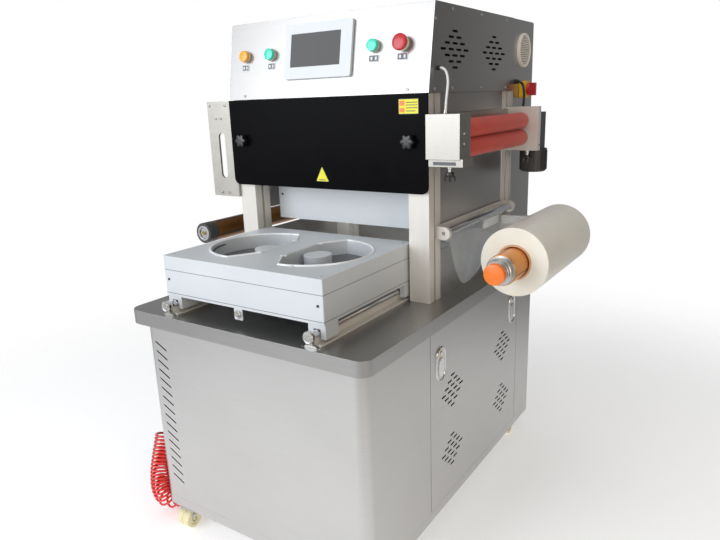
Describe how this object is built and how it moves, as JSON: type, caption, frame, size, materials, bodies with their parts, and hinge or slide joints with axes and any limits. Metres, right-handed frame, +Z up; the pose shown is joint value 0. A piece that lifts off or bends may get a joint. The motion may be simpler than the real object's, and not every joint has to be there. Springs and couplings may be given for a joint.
{
  "type": "cup and tray sealing machine",
  "caption": "Floor-standing semi-automatic cup and tray sealer on a wheeled stainless cabinet, with a sliding mould, heated press, film roll and feed rollers.",
  "frame": {"origin": "middle of the machine's outline on the floor, between the waste arm and the film roll and between the worktop's front and rear edges", "axes": "+X to the operator's right, +Y from the operator's side into the machine, +Z up"},
  "size_m": [1.023, 1.054, 1.3329],
  "materials": {
    "stainless_sheet": "grained sheet, rolled one way",
    "anodised_aluminium": "clear anodised extrusion and plate",
    "blasted_aluminium": "bead blasted, pale, matt",
    "hard_chrome": "polished hard chrome",
    "bright_steel": "ground bar and zinc plated pressings",
    "black_acrylic": "gloss black sheet",
    "black_phenolic": "moulded black",
    "light_grey_abs": "fine textured moulding",
    "red_plastic": "moulded red",
    "green_lens": "translucent moulded green",
    "yellow_lens": "translucent moulded yellow",
    "yellow_plate": "moulded or printed yellow",
    "red_silicone": "ground silicone covering",
    "film_white": "wound clear film, milky in the roll",
    "clear_film": "single clear web",
    "gold_anodised": "gold anodised tube",
    "bronze_anodised": "bronze anodised tube",
    "cream_nylon": "moulded nylon",
    "black_motor_paint": "satin black on cast housings",
    "white_pu": "extruded polyurethane tube",
    "red_pu": "extruded polyurethane tube",
    "black_pvc": "extruded cable sheath",
    "dark_glass": "coated display glass",
    "paper_core": "wound board core",
    "brass": "turned brass"
  },
  "bodies": {
    "machine_frame": {"base_frame": "stainless_sheet", "cabinet_front": "stainless_sheet", "cabinet_rear": "stainless_sheet", "side_panel_left": "stainless_sheet", "worktop": "stainless_sheet", "head_cover": "stainless_sheet", "head_side_right": "stainless_sheet", "head_side_left": "stainless_sheet", "electrical_cabinet": "stainless_sheet", "screen_right": "stainless_sheet", "screen_left": "stainless_sheet", "post_front_left": "anodised_aluminium", "post_front_right": "anodised_aluminium", "post_rear_left": "anodised_aluminium", "post_rear_right": "anodised_aluminium", "bridge_plate": "anodised_aluminium", "press_cylinder": "anodised_aluminium", "supply_arm": "anodised_aluminium", "waste_arm": "anodised_aluminium", "nip_front_bracket": "anodised_aluminium", "film_guide": "anodised_aluminium", "slotted_plate": "anodised_aluminium", "nip_rear_plate": "blasted_aluminium", "rail_left": "bright_steel", "rail_right": "bright_steel", "front_guard": "black_acrylic", "hmi_panel": "light_grey_abs", "film_tail": "clear_film", "feed_motor": "black_motor_paint", "vacuum_pump": "black_motor_paint", "air_tube": "white_pu", "coil_hose": "red_pu", "motor_cable": "black_pvc"},
    "mould_carriage": {"carriage_base": "anodised_aluminium", "mould_box": "blasted_aluminium", "mould_plate": "blasted_aluminium"},
    "press_ram": {"upper_die": "blasted_aluminium"},
    "supply_spool": {"supply_shaft": "gold_anodised", "film_roll": "film_white"},
    "waste_spool": {"waste_shaft": "bronze_anodised"},
    "feed_roller_lower": {"nip_roller_lower": "red_silicone"},
    "feed_roller_upper": {"nip_roller_upper": "red_silicone"},
    "guide_roller": {"guide_roller": "hard_chrome"},
    "yellow_button": {"button_yellow": "yellow_lens"},
    "green_button_left": {"button_green_left": "green_lens"},
    "green_button_right": {"button_green_right": "green_lens"},
    "emergency_stop": {"estop_head": "red_plastic"},
    "main_switch": {"switch_handle": "red_plastic"},
    "knob_left": {"guard_knob_left": "black_phenolic"},
    "knob_right": {"guard_knob_right": "black_phenolic"},
    "fan": {"fan_rotor": "black_phenolic"},
    "service_door": {"service_panel": "stainless_sheet"},
    "caster_front_left": {"caster_front_left_fork": "bright_steel"},
    "caster_front_left_roll": {"caster_front_left_wheel": "cream_nylon"},
    "caster_front_right": {"caster_front_right_fork": "bright_steel"},
    "caster_front_right_roll": {"caster_front_right_wheel": "cream_nylon"},
    "caster_rear_left": {"caster_rear_left_fork": "bright_steel"},
    "caster_rear_left_roll": {"caster_rear_left_wheel": "cream_nylon"},
    "caster_rear_right": {"caster_rear_right_fork": "bright_steel"},
    "caster_rear_right_roll": {"caster_rear_right_wheel": "cream_nylon"}
  },
  "joints": [
    {"name": "mould_slide", "type": "slide", "parent": "machine_frame", "child": "mould_carriage", "axis": [0, 1, 0], "range_m": [0, 0.427]},
    {"name": "press_stroke", "type": "slide", "parent": "machine_frame", "child": "press_ram", "axis": [0, 0, 1], "range_m": [-0.016, 0]},
    {"name": "supply_spin", "type": "hinge", "parent": "machine_frame", "child": "supply_spool", "pos_m": [0.4285, 0.073, 0.744], "axis": [0, 1, 0], "continuous": true},
    {"name": "waste_spin", "type": "hinge", "parent": "machine_frame", "child": "waste_spool", "pos_m": [-0.4665, 0.073, 0.764], "axis": [0, 1, 0], "continuous": true},
    {"name": "feed_spin", "type": "hinge", "parent": "machine_frame", "child": "feed_roller_lower", "pos_m": [0.3035, 0.093, 1.0095], "axis": [0, 1, 0], "continuous": true},
    {"name": "feed_spin_upper", "type": "hinge", "parent": "machine_frame", "child": "feed_roller_upper", "pos_m": [0.3035, 0.093, 1.055], "axis": [0, 1, 0], "continuous": true},
    {"name": "guide_spin", "type": "hinge", "parent": "machine_frame", "child": "guide_roller", "pos_m": [0.2715, 0.093, 0.81], "axis": [0, 1, 0], "continuous": true},
    {"name": "yellow_press", "type": "slide", "parent": "machine_frame", "child": "yellow_button", "axis": [0, 0.9841, -0.1774], "range_m": [0, 0.003], "stiffness_N_per_m": 900, "springref_m": -0.001},
    {"name": "green_press_left", "type": "slide", "parent": "machine_frame", "child": "green_button_left", "axis": [0, 0.9841, -0.1774], "range_m": [0, 0.003], "stiffness_N_per_m": 900, "springref_m": -0.001},
    {"name": "green_press_right", "type": "slide", "parent": "machine_frame", "child": "green_button_right", "axis": [0, 0.9841, -0.1774], "range_m": [0, 0.003], "stiffness_N_per_m": 900, "springref_m": -0.001},
    {"name": "emergency_press", "type": "slide", "parent": "machine_frame", "child": "emergency_stop", "axis": [0, 0.9841, -0.1774], "range_m": [0, 0.004]},
    {"name": "main_switch_turn", "type": "hinge", "parent": "machine_frame", "child": "main_switch", "pos_m": [0.2563, 0.433, 1.14], "axis": [1, 0, 0], "range_deg": [0, 90]},
    {"name": "knob_left_turn", "type": "hinge", "parent": "machine_frame", "child": "knob_left", "pos_m": [-0.3105, -0.162, 1.03], "axis": [0, 1, 0], "continuous": true},
    {"name": "knob_right_turn", "type": "hinge", "parent": "machine_frame", "child": "knob_right", "pos_m": [0.2095, -0.162, 1.03], "axis": [0, 1, 0], "continuous": true},
    {"name": "fan_spin", "type": "hinge", "parent": "machine_frame", "child": "fan", "pos_m": [0.2343, 0.435, 1.25], "axis": [1, 0, 0], "continuous": true},
    {"name": "service_door_lift", "type": "slide", "parent": "machine_frame", "child": "service_door", "axis": [1, 0, 0], "range_m": [0, 0.15]},
    {"name": "caster_front_left_swivel", "type": "hinge", "parent": "machine_frame", "child": "caster_front_left", "pos_m": [-0.3315, -0.457, 0.0717], "axis": [0, 0, 1], "continuous": true},
    {"name": "caster_front_left_spin", "type": "hinge", "parent": "caster_front_left", "child": "caster_front_left_roll", "pos_m": [-0.3315, -0.475, 0.025], "axis": [1, 0, 0], "continuous": true},
    {"name": "caster_front_right_swivel", "type": "hinge", "parent": "machine_frame", "child": "caster_front_right", "pos_m": [0.2285, -0.457, 0.0717], "axis": [0, 0, 1], "continuous": true},
    {"name": "caster_front_right_spin", "type": "hinge", "parent": "caster_front_right", "child": "caster_front_right_roll", "pos_m": [0.2285, -0.475, 0.025], "axis": [1, 0, 0], "continuous": true},
    {"name": "caster_rear_left_swivel", "type": "hinge", "parent": "machine_frame", "child": "caster_rear_left", "pos_m": [-0.3315, 0.458, 0.0717], "axis": [0, 0, 1], "continuous": true},
    {"name": "caster_rear_left_spin", "type": "hinge", "parent": "caster_rear_left", "child": "caster_rear_left_roll", "pos_m": [-0.3315, 0.44, 0.025], "axis": [1, 0, 0], "continuous": true},
    {"name": "caster_rear_right_swivel", "type": "hinge", "parent": "machine_frame", "child": "caster_rear_right", "pos_m": [0.2285, 0.458, 0.0717], "axis": [0, 0, 1], "continuous": true},
    {"name": "caster_rear_right_spin", "type": "hinge", "parent": "caster_rear_right", "child": "caster_rear_right_roll", "pos_m": [0.2285, 0.44, 0.025], "axis": [1, 0, 0], "continuous": true}
  ],
  "couplings": [
    {"joint": "feed_spin_upper", "follows": "feed_spin", "ratio": -1}
  ]
}
